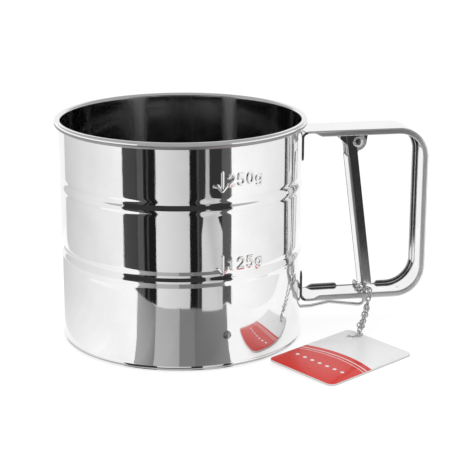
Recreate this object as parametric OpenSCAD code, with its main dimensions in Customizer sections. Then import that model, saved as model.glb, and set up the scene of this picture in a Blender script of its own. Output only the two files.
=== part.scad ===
// Flour shaker with a squeeze trigger: a steel cup with a stirrer over a screen in its base.
// Millimetres. The cup's axis is Z, its base is at z = 0 and the handle points along +X.

/* [Cup] */
// Outer radius of the cup wall
cup_r = 50; // [46:0.5:60]
// Height of the cup, from its base to the top of its rim
cup_h = 93; // [90:0.5:120]
// Thickness of the cup wall
wall = 0.6; // [0.4:0.1:0.8]
// Radius of the curled rim
rim_r = 1.4; // [1:0.1:2]
// Radius of the hem round the base
hem_r = 0.7; // [0.6:0.1:0.9]
// How far the hem is flattened where it stands
hem_flat = 0.15; // [0.05:0.05:0.3]
// Distance from the rim down to the middle of the upper bead
bead_drop = 26.1; // [24.7:0.1:30]
// Distance between the two beads
bead_gap = 28.9; // [20:0.1:33]
// Height of a bead, its groove and its ridge together
bead_h = 8; // [6:0.5:10]
// How far the groove goes in and the ridge stands out
bead_depth = 0.3; // [0.3:0.1:0.9]

/* [Screen] */
// Thickness of the screen
screen_t = 0.6; // [0.4:0.1:0.8]
// Width of one strand of the screen
strand_w = 0.7; // [0.5:0.1:1]
// Distance between strands
strand_pitch = 5.4; // [5.4:0.1:8]
// Thickness of the ring that holds the screen
ring_t = 0.6; // [0.4:0.1:0.8]
// Height of the ring's foot, which stands on the hem
ring_foot = 0.8; // [0.4:0.1:1.2]
// Width of the ring's two lips
ring_lip = 2.2; // [1.5:0.1:4]

/* [Stirrer] */
// Reach of the stirrer's arms from its axis
arm_reach = 45; // [36:0.5:45.5]
// Width of an arm
arm_w = 7; // [6:0.5:10]
// Thickness of the stirrer
arm_t = 0.8; // [0.6:0.1:1.2]
// Radius of the stirrer's hub
hub_r = 8; // [7:0.5:12]
// Distance from the axis to the line that the wire's hook follows
crank_r = 22; // [18:0.5:26]
// Radius of the pin that carries the stirrer
pivot_r = 2; // [1.5:0.1:2.5]
// Radius of the pin's lower head, and of its washer and sleeve
pivot_head_r = 3.6; // [3.2:0.1:5]
// Thickness of the pin's lower head
pivot_head_t = 0.7; // [0.5:0.1:1]
// Radius of the pin's upper head, on the bar
pivot_top_r = 3; // [2.8:0.1:4]
// Thickness of the pin's upper head
pivot_top_t = 0.6; // [0.4:0.1:1]
// Thickness of the washer under the stirrer
washer_t = 0.5; // [0.4:0.1:0.8]
// End play of the stirrer on its pin, above and below
thrust_play = 0.1; // [0.05:0.05:0.2]
// Gap between the stirrer and the wire above it
wire_gap = 0.6; // [0.4:0.1:1]

/* [Bridge] */
// Width of the bar that crosses the cup
bridge_w = 10; // [8:0.5:14]
// Thickness of the bar
bridge_t = 1.2; // [1:0.1:1.6]
// Height of the bar's two end tabs
bridge_tab_h = 8; // [7:0.5:12]
// Gap between the wire and the bar above it
bridge_gap = 1.5; // [1:0.1:2]
// Height of the rivets above the bar's underside
rivet_up = 4.8; // [4:0.1:5]
// Direction of the bar, turned from the handle
bridge_turn = -77.5; // [-80:0.5:-60]
// Radius of a rivet's shank
rivet_r = 1.2; // [1:0.1:1.5]
// Radius of a rivet's head
rivet_head_r = 1.7; // [1.6:0.1:2.4]
// Height of a rivet's head
rivet_head_h = 0.8; // [0.5:0.1:1.2]

/* [Handle] */
// Distance from the cup wall to the outside of the grip
handle_reach = 54.2; // [52:0.2:70]
// Width of the handle
handle_w = 17; // [16.5:0.5:24]
// Thickness of the handle's strip
strip_t = 1; // [0.8:0.1:1.2]
// Distance from the rim down to the top of the handle
handle_drop = 6.9; // [5:0.1:6.9]
// Height of the underside of the handle above the base
handle_z = 11.9; // [11.8:0.1:14]
// Depth of the turned-in edges, strip included
edge_h = 2.4; // [1.8:0.1:2.6]
// Distance from the cup wall to where the turned-in edges start
edge_start = 5; // [4:0.5:9]
// Outer radius of the grip's two corners
grip_corner_r = 13; // [8:0.5:14]
// Outer radius of the bend into a tab
tab_bend_r = 3; // [2.5:0.1:4]
// Length of the tabs on the cup wall
tab_len = 13; // [9:0.5:13]
// Distance from the cup wall to the gap in the far lower edge
notch_in = 20; // [16:0.5:22]
// Length of that gap
notch_len = 16; // [12:0.5:18]

/* [Trigger] */
// Distance from the cup wall to the trigger's pin
pin_out = 24.2; // [22:0.1:26]
// Distance from the handle's top down to the trigger's pin
pin_drop = 5.9; // [5.9:0.1:7]
// Radius of the trigger's pin
pin_r = 1.2; // [1:0.1:1.4]
// Radius of the pin's head and of its push-on cap
pin_head_r = 1.9; // [1.7:0.1:2.4]
// Thickness of the pin's head and of its push-on cap
pin_head_t = 0.6; // [0.5:0.1:1]
// Angle that the trigger leans at rest
lean = 7.4; // [5:0.2:9]
// Angle that the trigger is squeezed through
squeeze = 13; // [8:0.5:14]
// Width of the trigger
lever_w = 10; // [10:0.5:11]
// Depth of the trigger's channel
lever_d = 4.2; // [4:0.1:5]
// Thickness of the trigger's sheet
lever_t = 0.8; // [0.6:0.1:0.8]
// Distance from the pin to the front face of the trigger
lever_front = 4.9; // [4.8:0.1:5.4]
// Outer radius of the trigger's long bends
lever_bend_r = 0.9; // [0.9:0.1:1.4]
// Radius of the trigger's two ears
lever_ear_r = 3.4; // [2.8:0.1:3.6]
// Height of the trigger's ears above its pin
lever_head = 4.4; // [3.4:0.1:4.4]
// Distance from the pin down to where the trigger's front face starts
front_cut = 6; // [5.5:0.1:9]
// Gap between the trigger's lower end and the handle below it
foot_gap = 3.6; // [3.2:0.1:5]

/* [Bracket and spring] */
// Thickness of the bracket's sheet
bracket_t = 1; // [0.8:0.1:1]
// Distance from the pin to the bracket's front edge
bracket_front = 7.5; // [6.5:0.1:9]
// Distance from the pin to the bracket's back edge
bracket_back = 4.8; // [4.6:0.1:7]
// Height of the bracket's ears at its front edge
bracket_nose = 3.7; // [2.5:0.1:5]
// Radius of the bracket's ears round the pin
bracket_ear_r = 4; // [3.4:0.1:4.2]
// Radius of the spring's curls, at the middle of its wire
curl_r = 3.35; // [3:0.05:3.4]
// Thickness of the spring's wire
spring_d = 0.8; // [0.6:0.05:0.8]
// Whole turns of the spring
spring_turns = 3; // [2:1:3]
// Length of the spring's leg on the trigger
spring_leg = 14; // [8:0.5:20]

/* [Drive wire] */
// Thickness of the drive wire
wire_d = 1.5; // [1.2:0.1:1.8]
// Length of the wire's straight stretch outside the cup
wire_straight = 6; // [4:0.5:8]
// Distance from the cup wall to the wire's highest point
wire_crown_out = 14; // [13:0.5:18]
// How far the wire rises on its way to the trigger
wire_crown = 1.5; // [0.2:0.1:1.6]
// How far the wire dips below its straight stretch at the trigger
wire_dip = 1; // [0:0.1:1.2]
// Distance from the cup wall to the wire's corner inside the cup
wire_corner_in = 18; // [17.5:0.5:24]
// Length of the wire's bent tip above the trigger's foot
wire_tip = 3; // [2.6:0.1:3.2]

/* [Tag] */
// Length of the tag
tag_l = 49.6; // [44:0.1:52]
// Width of the tag
tag_w = 34.7; // [30:0.1:36]
// Thickness of the tag
tag_t = 0.8; // [0.6:0.1:1]
// Radius of the tag's corners
tag_corner_r = 3; // [2:0.5:4]
// Distance from the tag's hole to its long edge
tag_hole_in = 5.9; // [5.5:0.1:6.5]
// Distance from the tag's hole to its short edge
tag_hole_side = 6.4; // [5.8:0.1:6.4]
// Radius of the tag's hole
tag_hole_r = 2; // [2:0.1:2.4]
// Radius of the tag's ring, at the middle of its wire
tag_ring_r = 3.1; // [3.1:0.05:3.4]
// Thickness of the wire of the two small rings
ring_wire_d = 0.6; // [0.5:0.1:0.6]
// Thickness of the chain
chain_d = 1.6; // [1.2:0.1:1.6]

/* [Fits] */
// Gap between pieces that are fixed to each other
seat = 0.02; // [0.01:0.01:0.05]
// Running gap round a pin
pin_play = 0.06; // [0.03:0.01:0.1]
// Gap beside pieces that slide or turn
side_play = 0.3; // [0.2:0.05:0.35]
// Gap round the drive wire where it passes a hole
wire_play = 0.35; // [0.25:0.05:0.4]

/* [Hidden] */
$fn = 64;

steel = "#c9cbcd";
dark_steel = "#8f9296";

// Length by which a cutting shape runs past the faces that it cuts
past = 1;

// Cup profile
inner_r = cup_r - wall;
hem_x = cup_r - wall / 2;
hem_top = 2 * hem_r - hem_flat;
rim_x = inner_r + rim_r;
rim_from = 180 + acos((rim_x - cup_r) / rim_r);
hem_wall = acos(wall / 2 / hem_r);
hem_foot = acos((hem_r - hem_flat) / hem_r);
bead_high = cup_h - bead_drop;
bead_low = bead_high - bead_gap;
bead_steps = 24;
rim_steps = 24;
wave_peak = sin(60) * (1 + cos(60));

// Stack above the base, from the hem up to the bridge
ring_z = hem_top + seat;
screen_z = ring_z + ring_foot + ring_t + seat;
ring_top = screen_z + screen_t + seat + ring_t;
pivot_head_z = screen_z + screen_t + side_play;
washer_z = pivot_head_z + pivot_head_t + seat;
agitator_z = washer_z + washer_t + thrust_play;
agitator_top = agitator_z + arm_t;
wire_z = agitator_top + wire_gap + wire_d / 2;
bridge_z = wire_z + wire_d / 2 + bridge_gap;
bridge_top = bridge_z + bridge_t;
rivet_z = bridge_z + rivet_up;
lip_r = inner_r - seat - ring_lip;

// Handle outline
grip_x = cup_r + handle_reach;
handle_top = cup_h - handle_drop;
strip_under = handle_top - strip_t;
strip_over = handle_z + strip_t;
tab_x = sqrt(cup_r * cup_r - handle_w * handle_w / 4) - seat;

// Trigger, measured from its pin
pin_x = cup_r + pin_out;
pin_z = handle_top - pin_drop;
lever_back = lever_d - lever_front;
lever_len = (pin_z - strip_over - foot_gap - lever_front * sin(lean)) / cos(lean);
foot_x = (lever_back - lever_front + lever_t) / 2;
foot_z = lever_t / 2 - lever_len;
foot_hole_r = wire_d / 2 + wire_play + lever_t * sin(lean + squeeze) / 2;
bracket_w = lever_w - 2 * lever_t - 2 * side_play;
bracket_inner = bracket_w - 2 * bracket_t;

// Where the wire's upright stands, at rest and squeezed, and the stroke between
function foot_at(a) = [foot_x * cos(a) - foot_z * sin(a), foot_x * sin(a) + foot_z * cos(a)];
wire_x = pin_x + foot_at(lean)[0];
stroke = foot_at(lean + squeeze)[0] - foot_at(lean)[0];
tip_z = pin_z + foot_at(lean + squeeze)[1] + lever_d * sin(lean + squeeze) + wire_d;
swing = 2 * atan(stroke / 2 / crank_r);
echo(stroke_mm = stroke, wire_mm_per_rad = stroke / squeeze * 180 / PI);
echo(swing_deg = swing, swing_ratio = swing / squeeze);
echo(pin = [pin_x, pin_z], wire_height = wire_z, foot_hole = [wire_x, pin_z + foot_at(lean)[1]]);

// Route of the drive wire, from its hook in the stirrer to its tip in the trigger
corner_swell = 1.04;
corner_trim = 0.2;
hook_z = agitator_z - side_play;
wire_route = [[-stroke / 2, crank_r, hook_z],
              [-stroke / 2, crank_r, wire_z],
              [cup_r - wire_corner_in, 0, wire_z],
              [cup_r + wire_straight, 0, wire_z],
              [cup_r + wire_crown_out, 0, wire_z + wire_crown],
              [wire_x, 0, wire_z - wire_dip],
              [wire_x, 0, tip_z],
              [wire_x, wire_tip, tip_z]];

// Tag on the surface, tipped up at the corner with the hole
tag_place = [67.6, -61.6];
tag_turn = 34.45;
tag_tip = 2.6;
tag_hole = [tag_l / 2 - tag_hole_side, tag_w - tag_hole_in];
tag_ring_in = 0.8;
tag_ring_tilt = -25;

// Route of the chain: from the tag's ring, over the near edge of the handle, round it and back
chain_route = [[70.5, -27.4, 3.25], [73.5, -21.5, 6.8], [76.5, -15.7, 10.4], [78.6, -11.9, 13],
               [79.7, -9.8, 14.4], [79.7, -8.2, 16], [79.2, -6.3, 15.2], [78.2, -4.3, 14.2],
               [77.9, -2.5, 14.1], [77.9, 7, 14.1], [77.9, 9.5, 13.6], [77.9, 10, 11.6], [77.9, 8.5, 10.6],
               [77.9, -2, 10.6], [79.3, -7, 10.3], [77.5, -13.5, 7.4], [73, -22.2, 4.1]];
clasp_place = [72.3, -23.8, 5.4];
clasp_r = 1.6;
clasp_turn = [-62, 0, -27];

function unit(v) = v / norm(v);
function reverse(list) = [for (i = [len(list) - 1 : -1 : 0]) list[i]];
function arc(centre, r, from, to, steps = 8) =
    [for (i = [0 : steps]) let (a = from + (to - from) * i / steps) centre + r * [cos(a), sin(a)]];

// One bead: a groove above and a ridge below, running out smoothly into the wall
function wave(t) = abs(t) < 0.5 ? -sin(360 * t) * (1 + cos(360 * t)) / wave_peak : 0;
function bead_line(z) =
    [for (i = [0 : bead_steps]) let (t = i / bead_steps - 0.5)
        [cup_r + bead_depth * wave(t), z + bead_h * t]];
function bead_lines(inset) =
    [for (p = concat(bead_line(bead_low), bead_line(bead_high))) [p[0] - inset, p[1]]];

// Outline of the cup's sheet: round the hem, up the outside, over the rim and down the inside
hem_centre = [hem_x, hem_r - hem_flat];
cup_outline = concat(
    arc(hem_centre, hem_r, 180 - hem_wall, 270 - hem_foot),
    arc(hem_centre, hem_r, hem_foot - 90, hem_wall),
    bead_lines(0),
    arc([rim_x, cup_h - rim_r], rim_r, rim_from, 540, rim_steps),
    reverse(bead_lines(wall)));

// Centre line of the handle strip, moved inward by inset; the tabs' face is at wall_x
function grip_line(inset) = concat(
    arc([grip_x - grip_corner_r, handle_top - grip_corner_r], grip_corner_r - inset, 90, 0),
    arc([grip_x - grip_corner_r, handle_z + grip_corner_r], grip_corner_r - inset, 0, -90));
function strip_line(inset, wall_x) = concat(
    [[wall_x, handle_top - tab_len]],
    arc([wall_x + tab_bend_r - inset, handle_top - tab_bend_r], tab_bend_r - inset, 180, 90),
    grip_line(inset),
    arc([wall_x + tab_bend_r - inset, handle_z + tab_bend_r], tab_bend_r - inset, -90, -180),
    [[wall_x, handle_z + tab_len]]);
function edge_line(inset) = concat(
    [[cup_r + edge_start + 2 * inset, handle_top - inset]],
    grip_line(inset),
    [[cup_r + edge_start + 2 * inset, handle_z + inset]]);
edge_outline = concat(edge_line(0), reverse(edge_line(edge_h)));

// A plate in the XZ plane, of thickness t, its middle at y
module upright(t, y = 0) {
    translate([0, y, 0]) rotate([90, 0, 0]) linear_extrude(t, center = true) children();
}

// Shape with its local axes along three given directions
module along(x, y, z, at) {
    multmatrix([[x[0], y[0], z[0], at[0]],
                [x[1], y[1], z[1], at[1]],
                [x[2], y[2], z[2], at[2]],
                [0, 0, 0, 1]])
        children();
}

// Round rod through the points of a route, each corner closed by a ball a little wider than the rod
module bent_rod(route, r) {
    last = len(route) - 1;
    for (i = [0 : last - 1]) {
        way = unit(route[i + 1] - route[i]);
        side = unit(cross(way, abs(way[2]) > 0.9 ? [1, 0, 0] : [0, 0, 1]));
        from = i == 0 ? 0 : corner_trim * r;
        to = norm(route[i + 1] - route[i]) - (i == last - 1 ? 0 : corner_trim * r);
        along(side, cross(way, side), way, route[i] + from * way) cylinder(r = r, h = to - from);
    }
    for (i = [1 : last - 1])
        translate(route[i]) sphere(r * corner_swell);
}

// Tube of flat faces from a list of rings of points
module ring_tube(rings) {
    sides = len(rings[0]);
    points = [for (ring = rings) each ring];
    last = (len(rings) - 1) * sides;
    start_cap = [for (k = [1 : sides - 2]) [0, k, k + 1]];
    end_cap = [for (k = [1 : sides - 2]) [last, last + k + 1, last + k]];
    skin = [for (i = [0 : len(rings) - 2]) for (k = [0 : sides - 1])
        let (a = i * sides + k, b = i * sides + (k + 1) % sides)
        each [[a, a + sides, b], [b, a + sides, b + sides]]];
    polyhedron(points, concat(start_cap, skin, end_cap));
}

module cup_body() {
    color(steel) difference() {
        rotate_extrude($fn = 128) polygon(cup_outline);
        translate([inner_r - past, 0, wire_z]) rotate([0, 90, 0])
            cylinder(r = wire_d / 2 + wire_play, h = wall + 2 * past);
        at_rivets() cylinder(r = rivet_r + seat, h = 2 * (wall + past), center = true);
    }
}

module screen_ring() {
    color(dark_steel) rotate_extrude($fn = 128)
        difference() {
            translate([lip_r, ring_z]) square([ring_lip, ring_top - ring_z]);
            translate([lip_r - past, ring_z - past]) square([past + ring_lip - ring_t, past + ring_foot]);
            translate([lip_r - past, screen_z - seat])
                square([past + ring_lip - ring_t, screen_t + 2 * seat]);
        }
}

module sieve_screen() {
    edge_r = lip_r + ring_lip - ring_t - seat;
    rows = floor(edge_r / strand_pitch);
    color(dark_steel) translate([0, 0, screen_z]) linear_extrude(screen_t) {
        difference() {
            circle(edge_r, $fn = 128);
            circle(lip_r + seat, $fn = 128);
        }
        intersection() {
            circle(edge_r - ring_t, $fn = 128);
            for (i = [-rows : rows]) {
                translate([i * strand_pitch, 0]) square([strand_w, 2 * edge_r], center = true);
                translate([0, i * strand_pitch]) square([2 * edge_r, strand_w], center = true);
            }
        }
    }
}

// Places on the cup wall where the bridge's rivets go, pointing outward
module at_rivets() {
    for (side = [0, 180])
        rotate([0, 0, bridge_turn + side]) translate([cup_r, 0, rivet_z]) rotate([0, 90, 0]) children();
}

module bridge_bar() {
    end_r = inner_r - seat;
    color(steel) difference() {
        intersection() {
            rotate([0, 0, bridge_turn]) {
                translate([-end_r, -bridge_w / 2, bridge_z]) cube([2 * end_r, bridge_w, bridge_t]);
                for (side = [0, 180])
                    rotate([0, 0, side]) translate([end_r - bridge_t, -bridge_w / 2, bridge_z])
                        cube([bridge_t, bridge_w, bridge_tab_h]);
            }
            cylinder(r = end_r, h = cup_h, $fn = 128);
        }
        at_rivets() cylinder(r = rivet_r + seat, h = 2 * (wall + bridge_t + past), center = true);
        translate([0, 0, bridge_z - past]) cylinder(r = pivot_r + seat, h = bridge_t + 2 * past);
    }
}

module bridge_rivets() {
    depth = wall + bridge_t + 2 * seat;
    color(dark_steel) at_rivets() {
        translate([0, 0, -depth]) cylinder(r = rivet_r, h = depth + rivet_head_h / 2);
        translate([0, 0, -depth - rivet_head_h]) cylinder(r = rivet_head_r, h = rivet_head_h);
        difference() {
            translate([0, 0, -wall]) cylinder(r = rivet_head_r, h = wall + rivet_head_h / 2);
            translate([0, 0, -cup_r]) rotate([0, 90, 0])
                cylinder(r = cup_r + seat, h = 4 * rivet_head_r, center = true, $fn = 128);
        }
        translate([0, 0, rivet_head_h / 2])
            cylinder(r1 = rivet_head_r, r2 = rivet_head_r / 2, h = rivet_head_h / 2);
    }
}

module pivot_pin() {
    top = bridge_top + seat + pivot_top_t;
    color(dark_steel) {
        translate([0, 0, pivot_head_z]) cylinder(r = pivot_head_r, h = pivot_head_t);
        translate([0, 0, pivot_head_z]) cylinder(r = pivot_r, h = top - pivot_head_z);
        translate([0, 0, bridge_top + seat]) cylinder(r = pivot_top_r, h = pivot_top_t);
    }
}

module pivot_spacer() {
    low = agitator_top + thrust_play;
    color(dark_steel) translate([0, 0, low]) difference() {
        cylinder(r = pivot_head_r, h = bridge_z - seat - low);
        translate([0, 0, -past]) cylinder(r = pivot_r + seat, h = bridge_z - low + 2 * past);
    }
}

module pivot_washer() {
    color(dark_steel) translate([0, 0, washer_z]) difference() {
        cylinder(r = pivot_head_r, h = washer_t);
        translate([0, 0, -past]) cylinder(r = pivot_r + seat, h = washer_t + 2 * past);
    }
}

module agitator() {
    slot_r = wire_d / 2 + wire_play;
    slot_out = crank_r / cos(swing / 2);
    arm = concat([[0, -arm_w / 2]], arc([arm_reach - arm_w / 2, 0], arm_w / 2, -90, 90), [[0, arm_w / 2]]);
    color(steel) translate([0, 0, agitator_z]) rotate([0, 0, 90 + swing / 2]) difference() {
        linear_extrude(arm_t) {
            circle(hub_r);
            for (i = [0 : 3]) rotate(90 * i) polygon(arm);
        }
        translate([0, 0, -past]) cylinder(r = pivot_r + pin_play, h = arm_t + 2 * past);
        for (x = [crank_r - wire_play, slot_out + wire_play])
            translate([x, 0, -past]) cylinder(r = slot_r, h = arm_t + 2 * past);
        translate([crank_r - wire_play, -slot_r, -past])
            cube([slot_out - crank_r + 2 * wire_play, 2 * slot_r, arm_t + 2 * past]);
    }
}

module drive_wire() {
    color(dark_steel) bent_rod(wire_route, wire_d / 2);
}

module handle_strip() {
    slot_r = wire_d / 2 + 2 * wire_play;
    notch = cup_r + notch_in;
    color(steel) difference() {
        union() {
            upright(handle_w)
                polygon(concat(strip_line(0, tab_x), reverse(strip_line(strip_t, cup_r + strip_t))));
            upright(strip_t, (strip_t - handle_w) / 2) polygon(edge_outline);
            upright(strip_t, (handle_w - strip_t) / 2) difference() {
                polygon(edge_outline);
                polygon([[notch, strip_over],
                         [notch + notch_len, strip_over],
                         [notch + notch_len + edge_h, strip_over + edge_h],
                         [notch - edge_h, strip_over + edge_h]]);
            }
        }
        cylinder(r = cup_r + seat, h = cup_h, $fn = 128);
        for (x = [wire_x, wire_x + stroke])
            translate([x, 0, handle_z - past]) cylinder(r = slot_r, h = strip_t + 2 * past);
        translate([wire_x, -slot_r, handle_z - past]) cube([stroke, 2 * slot_r, strip_t + 2 * past]);
    }
}

// Moves from the trigger's pin, at the origin, to its place under the handle
module at_pin() {
    translate([pin_x, 0, pin_z]) children();
}

module pivot_bracket() {
    top = strip_under - seat - pin_z;
    chamfer = bracket_ear_r * cos(45);
    ear = [[-bracket_front, top], [-bracket_front, top - bracket_nose], [-chamfer, -chamfer], [0, 0],
           [bracket_ear_r, 0], [bracket_back, top]];
    color(steel) at_pin() {
        difference() {
            for (y = [-1, 1])
                upright(bracket_t, y * (bracket_w - bracket_t) / 2) {
                    polygon(ear);
                    circle(bracket_ear_r);
                }
            rotate([90, 0, 0]) cylinder(r = pin_r + seat, h = 2 * bracket_w, center = true);
        }
        translate([-bracket_front, -bracket_w / 2, top - bracket_t])
            cube([bracket_front + bracket_back, bracket_w, bracket_t]);
    }
}

module trigger_lever() {
    half = lever_w / 2;
    inner_bend = lever_bend_r - lever_t;
    bend_x = lever_bend_r - lever_front;
    section = concat(
        [[lever_back, -half]],
        arc([bend_x, lever_bend_r - half], lever_bend_r, 270, 180),
        arc([bend_x, half - lever_bend_r], lever_bend_r, 180, 90),
        [[lever_back, half], [lever_back, half - lever_t]],
        arc([bend_x, half - lever_bend_r], inner_bend, 90, 180),
        arc([bend_x, lever_bend_r - half], inner_bend, 180, 270),
        [[lever_back, lever_t - half]]);
    ear_x = lever_t / 2 - lever_front;
    ear = [[bend_x, -front_cut - past], [lever_back, -front_cut - past], [lever_back, -lever_ear_r - past],
           [lever_ear_r, 0], [0, lever_ear_r], [lever_back, lever_head], [ear_x, lever_head],
           [ear_x, -front_cut], [bend_x, -front_cut]];
    color(steel) at_pin() rotate([0, -lean, 0]) difference() {
        union() {
            translate([0, 0, -lever_len]) linear_extrude(lever_len - front_cut) polygon(section);
            for (y = [-1, 1])
                upright(lever_t, y * (lever_w - lever_t) / 2) {
                    polygon(ear);
                    circle(lever_ear_r);
                }
            translate([lever_t / 2 - lever_front, lever_t / 2 - half, -lever_len])
                cube([lever_d - lever_t / 2, lever_w - lever_t, lever_t]);
        }
        rotate([90, 0, 0]) cylinder(r = pin_r + pin_play, h = 2 * lever_w, center = true);
        translate([foot_x, 0, -lever_len - past]) cylinder(r = foot_hole_r, h = lever_t + 2 * past);
    }
}

module trigger_pin() {
    near = -lever_w / 2 - side_play;
    far = lever_w / 2 + side_play + pin_head_t;
    pin_end = pin_head_t / 2;
    color(dark_steel) at_pin() rotate([-90, 0, 0]) {
        translate([0, 0, near - pin_head_t]) cylinder(r = pin_head_r, h = pin_head_t);
        translate([0, 0, near - pin_head_t]) cylinder(r = pin_r, h = far + pin_end - near + pin_head_t);
    }
}

module pin_retainer() {
    color(dark_steel) at_pin() rotate([-90, 0, 0]) translate([0, 0, lever_w / 2 + side_play]) difference() {
        cylinder(r = pin_head_r, h = pin_head_t);
        translate([0, 0, -past]) cylinder(r = pin_r + seat, h = pin_head_t + 2 * past);
    }
}

// Wound spring round the pin: one leg under the bracket's top, the other down the trigger's front
spring_sides = 6;
spring_rings = 8;
spring_from = 90;
spring_to = 180 + lean + 360 * spring_turns;
spring_span = bracket_inner - 2 * side_play - spring_d;
curl_steps = round((spring_to - spring_from) / 360 * spring_rings);
function curl_angle(i) = spring_from + (spring_to - spring_from) * i / curl_steps;
function curl_point(i) = let (a = curl_angle(i))
    [curl_r * cos(a), spring_span * (i / curl_steps - 0.5), curl_r * sin(a)];
function wire_ring(p, a) = [for (k = [0 : spring_sides - 1]) let (b = 360 * k / spring_sides)
    p + spring_d / 2 * (cos(b) * [cos(a), 0, sin(a)] + sin(b) * [0, 1, 0])];
spring_points = concat(
    [curl_point(0) + (bracket_back - spring_d) * [1, 0, 0]],
    [for (i = [0 : curl_steps]) curl_point(i)],
    [curl_point(curl_steps) + spring_leg * [sin(lean), 0, -cos(lean)]]);
spring_gap = min([for (i = [0 : len(spring_points) - 1]) for (j = [i + 4 : 1 : len(spring_points) - 1])
    norm(spring_points[i] - spring_points[j])]) - spring_d;
echo(spring_gap = spring_gap);

module trigger_spring() {
    last = len(spring_points) - 1;
    color(dark_steel) at_pin() ring_tube([for (i = [0 : last])
        wire_ring(spring_points[i], curl_angle(min(max(i - 1, 0), curl_steps)))]);
}

// Plain tube along the chain's route, its rings square to the route
module tag_chain() {
    sides = 8;
    last = len(chain_route) - 1;
    tangent = [for (i = [0 : last]) unit(chain_route[min(i + 1, last)] - chain_route[max(i - 1, 0)])];
    rings = [for (i = [0 : last])
        let (u = unit(cross(tangent[i], [1, 0, 0])), v = cross(tangent[i], u))
        [for (k = [0 : sides - 1]) let (a = 360 * k / sides)
            chain_route[i] + chain_d / 2 * (cos(a) * u + sin(a) * v)]];
    color(steel) ring_tube(rings);
}

module chain_clasp() {
    color(dark_steel) translate(clasp_place) rotate(clasp_turn)
        rotate_extrude() translate([clasp_r, 0]) circle(ring_wire_d / 2);
}

// Moves from the tag's own frame, resting on one long edge, to its place on the surface
module at_tag() {
    translate([tag_place[0], tag_place[1], 0]) rotate([0, 0, tag_turn]) rotate([tag_tip, 0, 0]) children();
}

module tag_ring() {
    place = [tag_hole[0] + tag_ring_in + tag_ring_r, tag_hole[1], tag_t / 2];
    color(dark_steel) at_tag() translate(place) rotate([tag_ring_tilt, 0, 0])
        rotate_extrude() translate([tag_ring_r, 0]) circle(ring_wire_d / 2);
}

module hang_tag() {
    c = tag_corner_r;
    outline = concat(
        arc([tag_l / 2 - c, c], c, -90, 0), arc([tag_l / 2 - c, tag_w - c], c, 0, 90),
        arc([c - tag_l / 2, tag_w - c], c, 90, 180), arc([c - tag_l / 2, c], c, 180, 270));
    color("#d8402f") at_tag() difference() {
        linear_extrude(tag_t) polygon(outline);
        translate([tag_hole[0], tag_hole[1], -past]) cylinder(r = tag_hole_r, h = tag_t + 2 * past);
    }
}

cup_body();
screen_ring();
sieve_screen();
bridge_bar();
bridge_rivets();
pivot_pin();
pivot_spacer();
pivot_washer();
agitator();
drive_wire();
handle_strip();
pivot_bracket();
trigger_lever();
trigger_pin();
pin_retainer();
trigger_spring();
tag_chain();
chain_clasp();
tag_ring();
hang_tag();
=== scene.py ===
from math import acos, atan2, cos, degrees, dist, pi, radians, sin, sqrt, tan

import bmesh
import bpy
import numpy as np
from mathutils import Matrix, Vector


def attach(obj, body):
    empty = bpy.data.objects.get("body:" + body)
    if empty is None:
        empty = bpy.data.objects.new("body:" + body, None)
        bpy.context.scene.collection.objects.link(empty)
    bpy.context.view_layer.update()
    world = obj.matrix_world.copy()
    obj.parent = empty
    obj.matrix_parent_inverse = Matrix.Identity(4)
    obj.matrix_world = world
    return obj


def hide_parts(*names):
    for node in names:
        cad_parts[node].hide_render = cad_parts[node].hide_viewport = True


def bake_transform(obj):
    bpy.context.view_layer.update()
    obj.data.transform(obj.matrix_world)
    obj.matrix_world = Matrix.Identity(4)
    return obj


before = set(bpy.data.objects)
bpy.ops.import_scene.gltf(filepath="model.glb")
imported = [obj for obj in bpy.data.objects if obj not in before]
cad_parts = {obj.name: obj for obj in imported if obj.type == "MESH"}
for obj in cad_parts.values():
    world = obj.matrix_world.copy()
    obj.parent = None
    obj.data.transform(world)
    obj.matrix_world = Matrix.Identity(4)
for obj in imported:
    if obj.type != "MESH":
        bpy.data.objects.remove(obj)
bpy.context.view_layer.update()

# Lengths are in millimetres, but those of the camera, the lamps and the materials are in metres
MM = 0.001
scene = bpy.context.scene
scene.view_settings.view_transform = "Standard"

# Sizes and places that match those in the part's source
CUP_R, CUP_H, WALL = 50.0, 93.0, 0.6
RIM_R, HEM_R, HEM_FLAT = 1.4, 0.7, 0.15
BEADS, BEAD_H, BEAD_DEPTH = (66.9, 38.0), 8.0, 0.3
GRIP_X, HANDLE_W, STRIP_T = 104.2, 17.0, 1.0
HANDLE_TOP, HANDLE_Z = 86.1, 11.9
EDGE_H, EDGE_START, GRIP_CORNER_R = 2.5, 5.0, 13.0
TAB_BEND_R, TAB_LEN = 3.0, 13.0
NOTCH_FROM, NOTCH_TO = 70.0, 86.0
PIN = (74.2, 80.2)
LEAN = radians(7.4)
WIRE_D, WIRE_X, STROKE = 1.5, 79.9597, 14.0201
SPRING_R, SPRING_D, SPRING_TURNS, SPRING_SPAN = 3.35, 0.8, 3, 4.4
TAG_L, TAG_W, TAG_T, TAG_CORNER = 49.6, 34.7, 0.8, 3.0
TAG_HOLE = (TAG_L / 2 - 6.4, TAG_W - 5.9)
TAG_HOLE_R, TAG_RING_R, TAG_RING_IN, RING_WIRE_R = 2.0, 3.1, 0.8, 0.3
TAG_RING_TILT = radians(25)
TAG_PLACE, TAG_TURN, TAG_TIP = (67.6, -61.6), radians(34.45), radians(2.6)
CLASP_AT, CLASP_R, CLASP_AXIS = (72.3, -23.8, 5.4), 1.6, (0.399, 0.786, 0.473)

# Turn of the view line from the Y axis, and azimuth on the cup that faces the camera, in degrees
VIEW_TURN = 8.0
VIEW_AZ = -90 - VIEW_TURN


# Camera
CAMERA_LENS, CAMERA_SENSOR, CAMERA_CLIP = 116.5, 36, 0.01
CAMERA_AT = (-0.0823, -0.5856, 0.2151)
CAMERA_DOWN, CAMERA_PAN = 15.99, -9.80


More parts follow.
